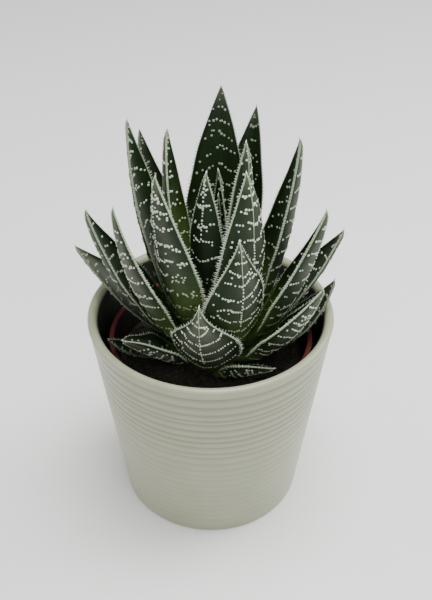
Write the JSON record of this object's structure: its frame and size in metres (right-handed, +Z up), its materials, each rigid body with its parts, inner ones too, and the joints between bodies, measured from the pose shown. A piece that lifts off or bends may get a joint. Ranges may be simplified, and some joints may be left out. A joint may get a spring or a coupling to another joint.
{
  "type": "potted aloe",
  "caption": "Rosette of spotted, toothed aloe leaves rooted in compost in a plastic nursery pot, standing inside a finely ribbed glazed ceramic cover pot.",
  "frame": {"origin": "the middle of the cover pot's flat base, on the surface it stands on", "axes": "+Z up out of the pot, -Y towards the viewer of the picture, +X to that viewer's right"},
  "size_m": [0.1396, 0.13, 0.231],
  "materials": {
    "glaze": "satin sage-grey glaze over fine turned ribs",
    "nursery_plastic": "thin dark terracotta-coloured plastic",
    "compost": "moist dark peat compost with brown crumbs and fibres",
    "crown_flesh": "pale green firm stem",
    "leaf_skin": "dark green waxy skin with pale raised dots, margins and teeth"
  },
  "bodies": {
    "root": {"cover_pot": "glaze", "nursery_pot": "nursery_plastic", "soil": "compost", "crown": "crown_flesh", "leaf_01": "leaf_skin", "leaf_02": "leaf_skin", "leaf_03": "leaf_skin", "leaf_04": "leaf_skin", "leaf_05": "leaf_skin", "leaf_06": "leaf_skin", "leaf_07": "leaf_skin", "leaf_08": "leaf_skin", "leaf_09": "leaf_skin", "leaf_10": "leaf_skin", "leaf_11": "leaf_skin", "leaf_12": "leaf_skin", "leaf_13": "leaf_skin", "leaf_14": "leaf_skin", "leaf_15": "leaf_skin", "leaf_16": "leaf_skin", "leaf_17": "leaf_skin", "leaf_18": "leaf_skin", "leaf_19": "leaf_skin", "leaf_20": "leaf_skin", "leaf_21": "leaf_skin", "leaf_22": "leaf_skin", "leaf_23": "leaf_skin", "leaf_24": "leaf_skin", "leaf_25": "leaf_skin", "leaf_26": "leaf_skin", "leaf_27": "leaf_skin", "leaf_28": "leaf_skin"}
  },
  "joints": []
}
